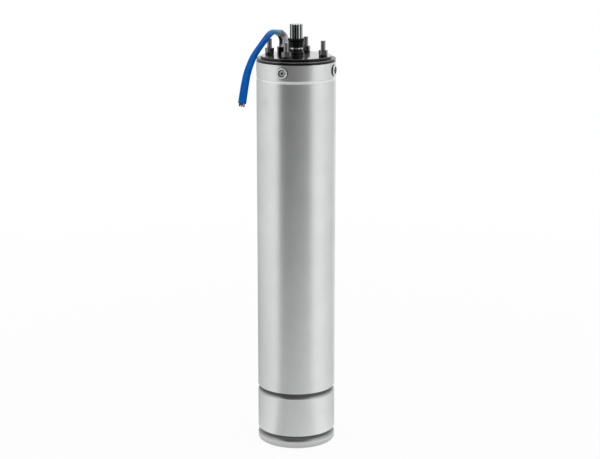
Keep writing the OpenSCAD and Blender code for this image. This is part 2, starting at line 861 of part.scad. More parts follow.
module bracket_section() {
  wall_t = bracket_wall_t;
  hub_bore_r = low_od / 2 + fit;
  difference() {
    union() {
      translate([inside_r - wall_t, bracket_z]) square([wall_t, bracket_wall_top_z - bracket_z]);
      translate([shelf_hole_r, low_bearing_z - shelf_t]) square([inside_r - shelf_hole_r, shelf_t]);
      translate([shelf_hole_r, low_bearing_z - shelf_t])
        square([low_hub_r - shelf_hole_r, hub_top_z - low_bearing_z + shelf_t]);
    }
    translate([0, low_bearing_z]) square([hub_bore_r, low_w + hub_top_z]);
    translate([0, low_bearing_top_z]) square([low_od / 2 + retaining_groove, retaining_t + fit]);
    roller(groove_w, groove_depth, high_groove_z, shell_wall + fit);
    oring_groove(inside_r, bracket_oring_z);
  }
}

module lower_bracket() {
  oil_holes = 6;
  oil_hole_d = 6;
  oil_ring_r = (low_hub_r + inside_r - bracket_wall_t) / 2;
  color("#53565a") difference() {
    rotate_extrude() bracket_section();
    around(oil_holes) translate([oil_ring_r, 0, low_bearing_z - shelf_t - over])
      cylinder(d = oil_hole_d, h = shelf_t + 2 * over);
  }
}

module diaphragm() {
  rim_z = cover_z + cover_h;
  rim_inset = 1;
  cup_inset = 6;
  cup_lift = 17;
  cup_r = cover_wall_r - cup_inset;
  cup_z = cover_z + cover_floor + cup_lift;
  bend = 5;
  color("#262626") rotate_extrude() {
    translate([cup_r - diaphragm_t, rim_z]) square([inside_r - rim_inset - cup_r + diaphragm_t, rim_h]);
    translate([cup_r - diaphragm_t, cup_z + bend]) square([diaphragm_t, rim_z - cup_z - bend + rim_h]);
    translate([0, cup_z]) square([cup_r - bend, diaphragm_t]);
    intersection() {
      translate([cup_r - bend, cup_z]) square(bend);
      difference() {
        translate([cup_r - bend, cup_z + bend]) circle(bend);
        translate([cup_r - bend, cup_z + bend]) circle(bend - diaphragm_t);
      }
    }
  }
}

module bottom_cover() {
  holes = 4;
  hole_d = 6;
  hole_ring_r = 22;
  chamfer = foot_r - shell_wall + edge;
  color("#3d4043") difference() {
    rotate_extrude() difference() {
      polygon([
        [0, cover_z], [inside_r - chamfer, cover_z], [inside_r, cover_z + chamfer],
        [inside_r, cover_z + cover_h], [cover_wall_r, cover_z + cover_h],
        [cover_wall_r, cover_z + cover_floor], [0, cover_z + cover_floor]
      ]);
      roller(groove_w, groove_depth, low_groove_z, shell_wall + fit);
    }
    around(holes, 45) translate([hole_ring_r, 0, cover_z - over])
      cylinder(d = hole_d, h = cover_floor + 2 * over);
  }
}

// Lead

module lead_plug() {
  color("#1b1b1c") difference() {
    translate([lead_at.x, lead_at.y, 0]) rotate_extrude() polygon([
      [0, plug_foot_z], [plug_r, plug_foot_z], [plug_r, face_z - gland_depth],
      [gland_bore_r - fit, face_z - gland_depth], [gland_bore_r - fit, face_z + gland_h],
      [0, face_z + gland_h]
    ]);
    at_pins() translate([0, 0, pin_foot_z]) cylinder(r = pin_r + fit, h = pin_drop + pin_grip + fit);
  }
}

module plug_pins() {
  color("#c79a45") at_pins() translate([0, 0, pin_foot_z]) cylinder(r = pin_r, h = pin_drop + pin_grip);
}

module lead_gland() {
  color("#101112") translate([lead_at.x, lead_at.y, 0]) difference() {
    union() {
      translate([0, 0, face_z - gland_depth]) cylinder(r = gland_thread_r, h = gland_depth + over);
      translate([0, 0, face_z]) hex_nut(gland_af, gland_h, gland_bore_r);
    }
    translate([0, 0, face_z - gland_depth - over])
      cylinder(r = gland_bore_r, h = gland_depth + gland_h + 2 * over);
  }
}

// Direction of the lead at route point i, in the plane it bends in; it leaves the gland straight up
function route_way(i) = i == 0 ? [0, 1] :
  let (
    a = lead_route[i - 1],
    b = lead_route[min(i + 1, len(lead_route) - 1)],
    step = [b[0] - a[0], b[1] - a[1]]
  ) step / norm(step);

// Flat oval across the lead at route point i, from its half width and half thickness
function lead_ring(i, half_w, half_t) =
  let (
    c = cos(lead_heading),
    s = sin(lead_heading),
    p = lead_route[i],
    way = route_way(i)
  )
  [for (k = [0 : 11])
    let (
      angle = (k < 6 ? k * 36 - 90 : (k - 6) * 36 + 90),
      wide = (k < 6 ? 1 : -1) * max(half_w - half_t, 0) + half_t * cos(angle),
      thick = half_t * sin(angle),
      side = wide * cos(p[2]) - thick * sin(p[2]),
      up = wide * sin(p[2]) + thick * cos(p[2]),
      along = p[0] - way[1] * up
    )
    [lead_at.x + along * c - side * s, lead_at.y + along * s + side * c, face_z + p[1] + way[0] * up]];

module lead_boot() {
  mouth_w = lead_w / 2 + boot_extra;
  mouth_t = lead_t / 2 + boot_extra;
  color("#1f2022") skin([
    for (i = [0 : boot_end])
      let (f = i / boot_end)
      lead_ring(i, boot_d / 2 * (1 - f) + mouth_w * f, boot_d / 2 * (1 - f) + mouth_t * f)
  ]);
}

module lead_cable() {
  color("#1566c8") skin([
    for (i = [boot_end : len(lead_route) - 1]) lead_ring(i, lead_w / 2, lead_t / 2)
  ]);
}

module lead_cores() {
  last = len(lead_route) - 1;
  way = route_way(last);
  p = lead_route[last];
  spacing = lead_w / (conductors + sheath_room);
  color("#b87333") translate([lead_at.x, lead_at.y, face_z]) rotate(lead_heading)
    translate([p[0], 0, p[1]]) rotate([0, atan2(way[0], way[1]), 0]) rotate(p[2])
      for (k = [0 : conductors - 1]) translate([0, (k - (conductors - 1) / 2) * spacing, 0])
        cylinder(r = core_r, h = core_stub);
}

stator_shell();
upper_flange();
flange_oring();
flange_studs();
stud_nuts();
spring_washers();
case_screws();
seal_seat();
seal_seat_cup();
upper_outer_ring();
preload_ring();
stator_core();
stator_winding();
winding_leads();
lower_bracket();
bracket_oring();
thrust_outer_ring();
thrust_retaining_ring();
diaphragm();
bottom_cover();
lead_plug();
plug_pins();
lead_gland();
lead_boot();
lead_cable();
lead_cores();
rotor_shaft();
rotor_core();
rotor_cage();
sand_slinger();
seal_head();
seal_bellows();
seal_spring();
seal_drive_ring();
upper_inner_ring();
thrust_inner_ring();
lock_washer();
lock_nut();
upper_balls();
upper_cage();
thrust_balls();
thrust_cage();
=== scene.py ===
# Four-inch borehole submersible motor: camera, lead, threads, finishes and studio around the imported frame
import math

import bmesh
import bpy
from mathutils import Matrix, Vector


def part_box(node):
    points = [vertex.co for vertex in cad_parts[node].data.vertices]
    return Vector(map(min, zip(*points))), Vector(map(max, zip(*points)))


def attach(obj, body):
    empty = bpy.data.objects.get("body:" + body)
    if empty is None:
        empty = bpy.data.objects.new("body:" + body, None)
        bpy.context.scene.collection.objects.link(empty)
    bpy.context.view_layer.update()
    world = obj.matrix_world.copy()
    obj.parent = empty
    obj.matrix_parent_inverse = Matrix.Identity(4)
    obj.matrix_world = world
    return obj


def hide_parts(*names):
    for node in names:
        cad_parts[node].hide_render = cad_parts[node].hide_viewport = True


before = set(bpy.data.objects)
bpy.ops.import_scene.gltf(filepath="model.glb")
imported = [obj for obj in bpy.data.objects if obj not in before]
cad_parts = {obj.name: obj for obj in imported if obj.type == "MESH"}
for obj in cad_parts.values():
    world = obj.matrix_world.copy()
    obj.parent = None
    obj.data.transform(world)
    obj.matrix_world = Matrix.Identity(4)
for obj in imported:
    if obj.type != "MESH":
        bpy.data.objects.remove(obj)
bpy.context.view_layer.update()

# Units: a millimetre in metres, and a full turn
MM = 0.001
TURN = 2 * math.pi

# Camera at the photograph's angle: the point it looks at lies up the shaft and a little to the right
VIEW_AZIMUTH = math.radians(20)
VIEW_PITCH = math.radians(13.51)
VIEW_DISTANCE = 2.0
VIEW_LENS = 95.3
VIEW_HEIGHT = 0.27478
VIEW_ASIDE = 0.0047
VIEW_CLIP = 10 * MM
TO_CAMERA = Vector((math.sin(VIEW_AZIMUTH), -math.cos(VIEW_AZIMUTH), 0))
TO_RIGHT = Vector((math.cos(VIEW_AZIMUTH), math.sin(VIEW_AZIMUTH), 0))

# Lead route, as on the solids: millimetres along the heading from the gland, above the face, and twist
LEAD_HEADING = math.radians(245)
BOOT_ROUTE = [
    (0, 7.5, 0), (-0.5, 11, 0), (-0.5, 14.5, 0), (0.4, 18, 0), (2.6, 21.4, 0), (5.6, 24, 0), (9, 25.8, 0),
]
CABLE_ROUTE = [
    (9, 25.8, 0), (13, 27, 0), (17.5, 27, 0), (22, 25.8, 2), (26.5, 23, 5), (31.5, 18.8, 8),
    (36.5, 14.4, 10), (41.8, 9.6, 10), (47, 4.6, 9), (51.8, -0.8, 6), (56.2, -7.5, 2), (60, -14.5, -3),
    (63, -21.5, -8), (65.3, -29, -13), (67.2, -36.5, -18), (68.8, -43.5, -22), (70.2, -50, -25),
    (71.4, -56, -27),
]
BOOT_STEPS = 8
CABLE_STEPS = 6

# Flat lead: section, dip between its cores in millimetres, and how far from the boot a painted highlight
# lightens it
CORES = 3
CABLE_WIDTH = 10.5 * MM
CABLE_THICK = 5 * MM
CABLE_DENT = 0.22
JACKET_HIGHLIGHT = (6 * MM, 29 * MM)

# Boot, in millimetres: round end, flat mouth (wide, thick), and the bead and round edge of the mouth
BOOT_ROUND = 12.4
BOOT_MOUTH = (13.3, 7.8)
BOOT_BEAD = 0.45
BOOT_LIP_ROUND = 0.7

# Boot, in shares: place and spread of the bead, pitch, dip and ends of the lobes, squareness of the mouth
BOOT_BEAD_AT = 0.93
BOOT_BEAD_SPREAD = 0.035
BOOT_CORES = 0.6
BOOT_DIP = 0.3
BOOT_DIP_ENDS = (1 / 8, 1 / 5)
BOOT_SQUARE = 0.8

# Heights above the face between which the boot turns grey, and the blur between its pale and dark cores
BOOT_PALE = (19.5 * MM, 22.5 * MM)
BOOT_BLUR = 0.9 * MM

# Cores at the cut end, in millimetres; their tips are dulled by a share of the radius
CORE_RADIUS = 1.3
CORE_SLEEVE = 2.2
CORE_STUB = 4
CORE_TIP = 0.3
STRAND_RADIUS = 0.36
STRAND_SIDES = 10
STRANDS_ROUND = 6
CORE_COLOURS = [("#121212", "#1d1d1d"), ("#553520", "#69442b"), ("#a9a8ad", "#b9b8bd")]

# Fasteners, slinger, shell and shaft, as on the solids
FASTENERS = 4
STUD_D = 6 * MM
NUT_AF = 10 * MM
NUT_FACE = 0.96
SCREW_HEAD = 5 * MM
SCREW_CORE = 3.4 * MM
SCREW_LENGTH = 7 * MM
SCREW_AF = 8.5 * MM
SCREW_SOCKET = 2.6 * MM
SLINGER_STEP = 1 * MM
SLINGER_LIP = 2.2 * MM
SLINGER_FLARE = 1.8 * MM
SHELL_D = 98 * MM
SHAFT_D = 16 * MM

# Thread of the studs: core as a share of the radius, pitch, slope of the flanks, flatness of the roots
STUD_CORE = 0.9
STUD_PITCH = 1 * MM
THREAD_FLANK = 2.5
THREAD_ROOT = 0.25

# Hexagons and nuts: dulled corners, slope of the chamfer, countersink and room round the stud's core
HEX_DULL = 0.985
NUT_SLOPE = math.radians(28)
NUT_SINK = 0.45 * MM
NUT_ROOM = 0.02 * MM

# Case screws: ledge and edge of the socket, dulled point, small flat in the middle, and steps of the rim
SCREW_LEDGE = 0.2 * MM
SCREW_EDGE_DROP = 0.3 * MM
SCREW_POINT = 0.8
SCREW_POINT_LENGTH = 0.6 * MM
SCREW_MIDDLE = 0.1 * MM
SCREW_RIM_STEPS = 8

# Sockets of the case screws: lining, which closes in by the taper, then floor and drill mark; lining and
# drill mark are black as painted shade
SOCKET_TAPER = 1.8 * MM
LINING_ROOM = 0.04 * MM
LINING_TOP = 0.25 * MM
LINING_FOOT = 0.1 * MM
LINING_EDGE = 0.5 * MM
SOCKET_FLOOR_ROOM = 0.02 * MM
SOCKET_FLOOR_RISE = 0.2 * MM
SOCKET_FLOOR_THICK = 0.3 * MM
SCREW_DRILL = 1.4 * MM
DRILL_TIP = 0.05 * MM
DRILL_SKIN = 0.1 * MM

# Black rings round the heads of the case screws, rubber seals that serve as a painted shadow round each
# head: edge past the head, depth in the shell, rise above it
SHADOW_RING_EDGE = 0.35 * MM
SHADOW_RING_SUNK = 0.8 * MM
SHADOW_RING_RISE = 0.9 * MM
SHADOW_RING_ROUND = 0.3 * MM

# Rubber slinger: round edges and room round the shaft
SLINGER_ROUND = 0.6 * MM
SLINGER_ROOM = 0.03 * MM

# Rounding and shading: the most of an edge that a round corner takes, and the angle that stays sharp
CORNER_SHARE = 0.45
SHARP_ANGLE = math.radians(35)

# Painted shade on the shaft: radii between which a tooth comes out of it, the end kept out of it, the neck
# below the slinger
SPLINE_ROOT = 6.95 * MM
SPLINE_CREST = 7.6 * MM
SHAFT_END = (0.8 * MM, 0.4 * MM)
NECK_BRIGHT = 2 * MM
NECK_BLUR = 0.6 * MM
NECK_SHADE = 0.05

# Satin of the shell: grain of its polishing rings and how far it is drawn out, mottle, drift and depth
SATIN_GRAIN = 0.25 * MM
SATIN_DRAWN = 160
SATIN_MOTTLE = 1.4 * MM
SATIN_DRIFT = 30 * MM
SATIN_DEPTH = 0.003 * MM

# Painted shade in the shell's rolled grooves and towards its foot, and a painted highlight on its ring
# line, at about their heights on the solids
GROOVES = (12.2 * MM, 68.4 * MM)
GROOVE_W = 8.6 * MM
GROOVE_SHADE = 0.13
GROOVE_FADE = 0.5
GROOVE_EDGE = 0.4 * MM
FOOT_SHADE = (0.5, 0.78)
RING_LINE_Z = 467 * MM
RING_LINE_HALF = 1.2 * MM
RING_LINE_HIGHLIGHT_METAL = 0.3

# Round lip of the flange, where a painted highlight is drawn as bare metal through the black coat, and the
# polished band about its face
LIP_Z = 491.25 * MM
LIP_HALF = 0.4 * MM
POLISH_BELOW = (1 * MM, 0.5 * MM)
POLISH_ABOVE = (0.2 * MM, 0.6 * MM)

# All finishes: roughness of a clear coat, and size of the wear's blotches against the colour's
COAT_ROUGH = 0.06
WEAR_SPREAD = 2.7

# Studio: light of the surround, floor, cards, and the point that the lamps are aimed at
WORLD_LEVEL = 0.6
FLOOR_R = 1.6
FLOOR_Z = -0.0003
FLOOR_GLOW = 0.95
FLOOR_FADE = (0.2, 0.9)
CARD_APRON = 0.07
CARD_FOOT = 0.04
CARD_LIFT = 1 * MM
CARD_STEPS = 32
LAMP_AIM = (0, 0, 0.3)

# Levels of the frame that the pieces are set on
FACE_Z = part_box("spring_washers")[0].z
GLAND_LOW, GLAND_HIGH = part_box("lead_gland")
GLAND_AT = (GLAND_LOW + GLAND_HIGH) / 2
LEAD_WAY = Vector((math.cos(LEAD_HEADING), math.sin(LEAD_HEADING), 0))
LEAD_ASIDE = Vector((-LEAD_WAY.y, LEAD_WAY.x, 0))


def lead_point(along, up, side=0.0):
    """The frame's point at a place in the lead's plane, or beside it, in millimetres."""
    base = Vector((GLAND_AT.x, GLAND_AT.y, FACE_Z))
    return base + (LEAD_WAY * along + LEAD_ASIDE * side + Vector((0, 0, up))) * MM


def aim(obj, target):
    """Turns a camera or lamp, which looks along its own -Z, towards a point."""
    obj.rotation_euler = (Vector(target) - obj.location).to_track_quat("-Z", "Y").to_euler()


def add_camera():
    camera = bpy.data.objects.new("camera", bpy.data.cameras.new("camera"))
    bpy.context.scene.collection.objects.link(camera)
    target = Vector((0, 0, VIEW_HEIGHT)) + TO_RIGHT * VIEW_ASIDE
    back = TO_CAMERA * math.cos(VIEW_PITCH) + Vector((0, 0, math.sin(VIEW_PITCH)))
    camera.location = target + back * VIEW_DISTANCE
    camera.data.lens = VIEW_LENS
    camera.data.clip_start = VIEW_CLIP
    aim(camera, target)
    bpy.context.scene.camera = camera


# Shader helpers


def linear(code):
    """Linear colour of a written hex colour."""
    parts = [int(code[i:i + 2], 16) / 255 for i in (1, 3, 5)]
    return [p / 12.92 if p <= 0.04045 else ((p + 0.055) / 1.055) ** 2.4 for p in parts] + [1]


def add(tree, kind, inputs=None, **settings):
    """A shader node with its settings; an input is a value, or a socket that is linked to it."""
    node = tree.nodes.new("ShaderNode" + kind)
    for key, value in settings.items():
        setattr(node, key, value)
    for key, value in (inputs or {}).items():
        if isinstance(value, bpy.types.NodeSocket):
            tree.links.new(value, node.inputs[key])
        else:
            node.inputs[key].default_value = value
    return node


def new_material(name):
    """An empty material's node tree and its output node."""
    material = bpy.data.materials.new(name)
    material.use_nodes = True
    tree = material.node_tree
    tree.nodes.clear()
    return material, tree, tree.nodes.new("ShaderNodeOutputMaterial")


def linked_shader(tree, output, inputs):
    """A principled shader with its inputs, linked to a material's output."""
    shader = add(tree, "BsdfPrincipled", inputs)
    tree.links.new(shader.outputs[0], output.inputs[0])


def position(tree):
    """The surface's place on its own object, in metres."""
    return add(tree, "TexCoord").outputs["Object"]


def height_of(tree):
    """The surface's height above the frame's origin, in metres."""
    return add(tree, "SeparateXYZ", {0: position(tree)}).outputs["Z"]


def distance_along(tree, way):
    """How far the surface's place lies along a direction from the frame's origin, in metres."""
    inputs = {0: position(tree), 1: way}
    return add(tree, "VectorMath", inputs, operation="DOT_PRODUCT").outputs["Value"]


def off_level(tree, up, level):
    """How far a height is from a level, up or down."""
    off = add(tree, "Math", {0: up, 1: level}, operation="SUBTRACT").outputs[0]
    return add(tree, "Math", {0: off}, operation="ABSOLUTE").outputs[0]


def noise(tree, size, stretch=(1, 1, 1), detail=3.0):
    """Noise whose blotches measure about the given size in metres, longer along a stretched axis."""
    scale = [1 / (size * s) for s in stretch]
    mapped = add(tree, "Mapping", {"Vector": position(tree), "Scale": scale})
    blotches = add(tree, "TexNoise", {"Vector": mapped.outputs[0], "Scale": 1.0, "Detail": detail})
    return blotches.outputs["Fac"]


def ranged(tree, value, low, high, start=0.3, end=0.7):
    """The value, taken from start..end to low..high."""
    inputs = {"Value": value, "From Min": start, "From Max": end, "To Min": low, "To Max": high}
    return add(tree, "MapRange", inputs).outputs["Result"]


def mixed(tree, factor, dark, light):
    """A colour between two others; each is a written hex colour or a socket."""
    node = add(tree, "Mix", data_type="RGBA")
    tree.links.new(factor, node.inputs[0])
    for index, colour in ((6, dark), (7, light)):
        if isinstance(colour, str):
            node.inputs[index].default_value = linear(colour)
        else:
            tree.links.new(colour, node.inputs[index])
    return node.outputs[2]


def ramped(tree, value, stops):
    """A grey that runs straight from stop to stop; a stop is (value, grey)."""
    node = add(tree, "ValToRGB")
    reach = stops[-1][0]
    tree.links.new(ranged(tree, value, 0, 1, 0, reach), node.inputs[0])
    marks = node.color_ramp.elements
    while len(marks) < len(stops):
        marks.new(1.0)
    for mark, (place, grey) in zip(marks, stops):
        mark.position = place / reach
        mark.color = (grey, grey, grey, 1)
    return node.outputs[0]


def product(tree, first, second):
    """Two values or greys multiplied."""
    return add(tree, "Math", {0: first, 1: second}, operation="MULTIPLY").outputs[0]


def bumped(tree, height, depth, below=None):
    """A normal from a height field that is depth metres deep."""
    inputs = {"Height": height, "Strength": 1.0, "Distance": depth}
    if below is not None:
        inputs["Normal"] = below
    return add(tree, "Bump", inputs).outputs["Normal"]


def finish(name, dark, light, rough, metallic=0.0, tone=4 * MM, grain=0.3 * MM, depth=0.01 * MM,
           stretch=(1, 1, 1), coat=0.0, specular=0.5):
    """A material with a colour that drifts from dark to light, a roughness that drifts, and a grain."""
    material, tree, output = new_material(name)
    drift = ranged(tree, noise(tree, tone), 0, 1)
    wear = ranged(tree, noise(tree, tone * WEAR_SPREAD, detail=5.0), rough[0], rough[1])
    normal = bumped(tree, noise(tree, grain, stretch, detail=2.0), depth)
    linked_shader(tree, output, {
        "Base Color": mixed(tree, drift, dark, light), "Roughness": wear, "Metallic": metallic,
        "Normal": normal, "Specular IOR Level": specular, "Coat Weight": coat,
        "Coat Roughness": COAT_ROUGH,
    })
    return material


# Finishes, one for each slot of the record


def groove_stops():
    """Painted shade up the shell: darker to its foot, dark under a groove's upper edge, fading to its
    lower.
    """
    stops = [(0, FOOT_SHADE[0])]
    for middle, below in zip(GROOVES, (FOOT_SHADE[1], 1)):
        low = middle - GROOVE_W / 2
        high = middle + GROOVE_W / 2
        fade = low + GROOVE_W * GROOVE_FADE
        stops += [(low, below), (fade, GROOVE_SHADE), (high - GROOVE_EDGE, GROOVE_SHADE), (high, 1)]
    return stops


def brushed_shell():
    """Satin stainless tube: polishing rings, a soft mottle, painted shade in the grooves and at the foot,
    and a painted highlight on the ring line.
    """
    material, tree, output = new_material("stainless_shell")
    up = height_of(tree)
    rings = noise(tree, SATIN_GRAIN, (SATIN_DRAWN, SATIN_DRAWN, 1), detail=2.0)
    mottle = noise(tree, SATIN_MOTTLE, detail=4.0)
    drift = ranged(tree, noise(tree, SATIN_DRIFT), 0, 1)
    steel = mixed(tree, drift, "#dfe1e0", "#e5e7e6")
    # Painted shade: darker towards the foot, and dark under each groove's upper edge
    colour = mixed(tree, ramped(tree, up, groove_stops()), "#000000", steel)
    # Painted highlight on the ring line: less metallic there, and mixed towards white
    from_line = off_level(tree, up, RING_LINE_Z)
    line_highlight_metal = ranged(tree, from_line, RING_LINE_HIGHLIGHT_METAL, 1.0, RING_LINE_HALF * 0.6, RING_LINE_HALF)
    colour = mixed(tree, line_highlight_metal, "#ffffff", colour)
    rough = ranged(tree, mottle, 0.33, 0.39)
    normal = bumped(tree, rings, SATIN_DEPTH)
    normal = bumped(tree, mottle, SATIN_DEPTH, normal)
    linked_shader(tree, output, {
        "Base Color": colour, "Metallic": line_highlight_metal, "Roughness": rough, "Normal": normal,
    })
    return material


def splined_shaft():
    """Ground shaft with painted shade: bright crests over roots painted black, and a bright ring above a
    neck painted dark below the slinger.
    """
    material, tree, output = new_material("shaft_steel")
    up = height_of(tree)
    flat = add(tree, "VectorMath", {0: position(tree), 1: (1, 1, 0)}, operation="MULTIPLY").outputs[0]
    radius = add(tree, "VectorMath", {0: flat}, operation="LENGTH").outputs["Value"]
    # Painted shade: the tooth roots and the neck below the slinger are mixed towards black
    crest = ranged(tree, radius, 0, 1, SPLINE_ROOT, SPLINE_CREST)
    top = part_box("rotor_shaft")[1].z
    end = ranged(tree, up, 0, 1, top - SHAFT_END[0], top - SHAFT_END[1])
    unshaded = add(tree, "Math", {0: crest, 1: end}, operation="MAXIMUM").outputs[0]
    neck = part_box("sand_slinger")[0].z - NECK_BRIGHT
    unshaded = product(tree, unshaded, ranged(tree, up, NECK_SHADE, 1, neck, neck + NECK_BLUR))
    drift = ranged(tree, noise(tree, 3 * MM), 0, 1)
    steel = mixed(tree, drift, "#bdbfc0", "#cfd1d1")
    linked_shader(tree, output, {
        "Base Color": mixed(tree, unshaded, "#060606", steel), "Metallic": 1.0,
        "Roughness": ranged(tree, noise(tree, 1 * MM, (1, 1, 20)), 0.14, 0.22),
        "Normal": bumped(tree, noise(tree, 0.12 * MM, (30, 30, 1), detail=2.0), 0.002 * MM),
    })
    return material


def black_flange():
    """Black coat on the castings, polished on the flange's face, with a painted highlight along its round
    lip drawn as bare metal through the coat.
    """
    material, tree, output = new_material("black_casting")
    up = height_of(tree)
    from_lip = off_level(tree, up, LIP_Z)
    patch = noise(tree, 9 * MM)
    # Painted highlight along the lip: bare grey metal mixed into the black coat
    lip_highlight = ranged(tree, from_lip, 1, 0, LIP_HALF * 0.5, LIP_HALF)
    lip_highlight = product(tree, lip_highlight, ranged(tree, patch, 0.8, 1))
    black = mixed(tree, ranged(tree, patch, 0, 1), "#040404", "#080808")
    below = ranged(tree, up, 0, 1, FACE_Z - POLISH_BELOW[0], FACE_Z - POLISH_BELOW[1])
    above = ranged(tree, up, 1, 0, FACE_Z + POLISH_ABOVE[0], FACE_Z + POLISH_ABOVE[1])
    linked_shader(tree, output, {
        "Base Color": mixed(tree, lip_highlight, black, "#989a9c"), "Metallic": lip_highlight, "Specular IOR Level": 0.3,
        "Coat Weight": product(tree, below, above), "Coat Roughness": COAT_ROUGH,
        "Roughness": ranged(tree, noise(tree, 24 * MM, detail=5.0), 0.16, 0.3),
        "Normal": bumped(tree, noise(tree, 2.5 * MM, detail=2.0), 0.02 * MM),
    })
    return material


def smoky_boot():
    """Glossy smoke-clear sleeve: the pale core shows on one side, made lighter than that core as a painted
    highlight, the dark ones on the other.
    """
    material, tree, output = new_material("boot_rubber")
    up = height_of(tree)
    side = distance_along(tree, LEAD_ASIDE)
    gap = GLAND_AT.dot(LEAD_ASIDE) + BOOT_ROUND * MM * BOOT_CORES / 4
    patch = noise(tree, 6 * MM)
    arch = ranged(tree, up, 0, 1, FACE_Z + BOOT_PALE[0], FACE_Z + BOOT_PALE[1])
    grey = mixed(tree, patch, "#74757a", "#828388")
    # Pale side: the pale core, made near white as a painted highlight
    pale_core_and_highlight = mixed(tree, arch, mixed(tree, patch, "#f1f0f6", "#f8f7fc"), grey)
    dark = mixed(tree, arch, mixed(tree, patch, "#18181a", "#242427"), grey)
    core = ranged(tree, side, 0, 1, gap - BOOT_BLUR, gap)
    linked_shader(tree, output, {
        "Base Color": mixed(tree, core, dark, pale_core_and_highlight), "Roughness": ranged(tree, patch, 0.18, 0.28),
        "Normal": bumped(tree, noise(tree, 0.5 * MM, detail=2.0), 0.006 * MM),
        "Coat Weight": 1.0, "Coat Roughness": COAT_ROUGH,
    })
    return material


def blue_jacket():
    """Smooth blue jacket with a painted highlight that lightens it where it leaves the boot."""
    material, tree, output = new_material("blue_jacket")
    mouth = lead_point(*CABLE_ROUTE[0][:2])
    away = add(tree, "VectorMath", {0: position(tree), 1: mouth}, operation="DISTANCE").outputs["Value"]
    # Painted highlight: the blue mixed towards pale cyan near the boot
    near = ranged(tree, away, 1, 0, JACKET_HIGHLIGHT[0], JACKET_HIGHLIGHT[1])
    painted_highlight = product(tree, near, product(tree, near, near))
    drift = ranged(tree, noise(tree, 7 * MM), 0, 1)
    colour = mixed(tree, painted_highlight, mixed(tree, drift, "#0058b2", "#0063c2"), "#8fd0ea")
    linked_shader(tree, output, {
        "Base Color": colour, "Specular IOR Level": 0.05,
        "Roughness": ranged(tree, noise(tree, 19 * MM, detail=5.0), 0.32, 0.42),
        "Normal": bumped(tree, noise(tree, 0.35 * MM, detail=2.0), 0.006 * MM),
    })
    return material


FINISHES = {
    "stainless_shell": brushed_shell(),
    "black_casting": black_flange(),
    "grey_casting": finish("grey_casting", "#44474a", "#5d6063", (0.45, 0.65), 0.4, grain=0.8 * MM,
                           depth=0.06 * MM),
    "bright_steel": finish("bright_steel", "#97999b", "#a1a3a5", (0.1, 0.18), 1.0, tone=5 * MM,
                           grain=0.3 * MM, depth=0.001 * MM),
    "shaft_steel": splined_shaft(),
    "bearing_steel": finish("bearing_steel", "#b8babb", "#cccecf", (0.08, 0.18), 1.0, depth=0.002 * MM),
    "lamination_steel": finish("lamination_steel", "#5f6366", "#777b7e", (0.4, 0.55), 0.9, grain=0.5 * MM,
                               depth=0.05 * MM, stretch=(400, 400, 1)),
    "cage_aluminium": finish("cage_aluminium", "#b3b6b7", "#c9cbcc", (0.35, 0.5), 1.0, depth=0.02 * MM),
    "winding_copper": finish("winding_copper", "#8f4f26", "#c07a45", (0.25, 0.4), 0.9, tone=1.5 * MM,
                             grain=0.7 * MM, depth=0.12 * MM, coat=0.6),
    "pin_brass": finish("pin_brass", "#a98335", "#c9a14c", (0.18, 0.32), 1.0, depth=0.004 * MM),
    "seal_ceramic": finish("seal_ceramic", "#d8d3c8", "#e6e2d9", (0.15, 0.25), depth=0.003 * MM),
    "seal_carbon": finish("seal_carbon", "#202326", "#303337", (0.3, 0.45), depth=0.006 * MM),
    "seal_rubber": finish("seal_rubber", "#060606", "#0c0c0c", (0.3, 0.42), grain=0.25 * MM,
                          depth=0.008 * MM, specular=0.15),
    "boot_rubber": smoky_boot(),
    "blue_jacket": blue_jacket(),
    "lead_insulation": finish("lead_insulation", "#8e2c20", "#a83a2b", (0.35, 0.5), depth=0.01 * MM),
}


# Finishes of single pieces
ZINC = finish("zinc_plate", "#e4e5e6", "#eeefef", (0.2, 0.3), 0.75, tone=3 * MM, depth=0.004 * MM)
SOCKET_STEEL = finish("socket_steel", "#a3a5a6", "#b3b5b6", (0.3, 0.42), 0.4, tone=2 * MM,
                      depth=0.004 * MM)
# Black for the socket linings and drill marks: painted shade
SOCKET_SHADE_BLACK = finish("socket_shade_black", "#050505", "#0b0b0b", (0.4, 0.55), tone=2 * MM, specular=0.1)
NUT_STEEL = finish("nut_steel", "#7c7e80", "#888a8c", (0.06, 0.12), 1.0, tone=5 * MM, depth=0.001 * MM)
WASHER_STEEL = finish("washer_steel", "#37393a", "#4a4c4d", (0.2, 0.34), 1.0, tone=3 * MM,
                      depth=0.003 * MM)


def dress_nodes():
    """Gives every solid the finish of its own slot, and the spring washers a darker one."""
    for name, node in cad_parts.items():
        for slot in node.material_slots:
            slot.material = WASHER_STEEL if name == "spring_washers" else FINISHES[slot.material.name]


# Mesh helpers: a part is a list of vertices and a list of faces


def loft(rings, closed=False):
    """A skin over rings of equal length, with capped ends, or joined end to start."""
    sides = len(rings[0])
    verts = [tuple(p) for ring in rings for p in ring]
    faces = []
    for i in range(len(rings) - (0 if closed else 1)):
        below = i * sides
        above = (i + 1) % len(rings) * sides
        for j in range(sides):
            k = (j + 1) % sides
            faces.append((below + j, below + k, above + k, above + j))
    if not closed:
        last = (len(rings) - 1) * sides
        faces.append(tuple(range(sides - 1, -1, -1)))
        faces.append(tuple(range(last, last + sides)))
    return verts, faces


def joined(parts):
    """Several parts as one."""
    verts, faces = [], []
    for part_verts, part_faces in parts:
        start = len(verts)
        verts += part_verts
        faces += [tuple(start + i for i in face) for face in part_faces]
    return verts, faces


def placed(part, matrix):
    """A part moved by a matrix."""
    return [tuple(matrix @ Vector(p)) for p in part[0]], part[1]


def around(part, count):
    """Copies of a part, evenly spaced about the shaft."""
    return joined([placed(part, Matrix.Rotation(TURN * i / count, 4, "Z")) for i in range(count)])


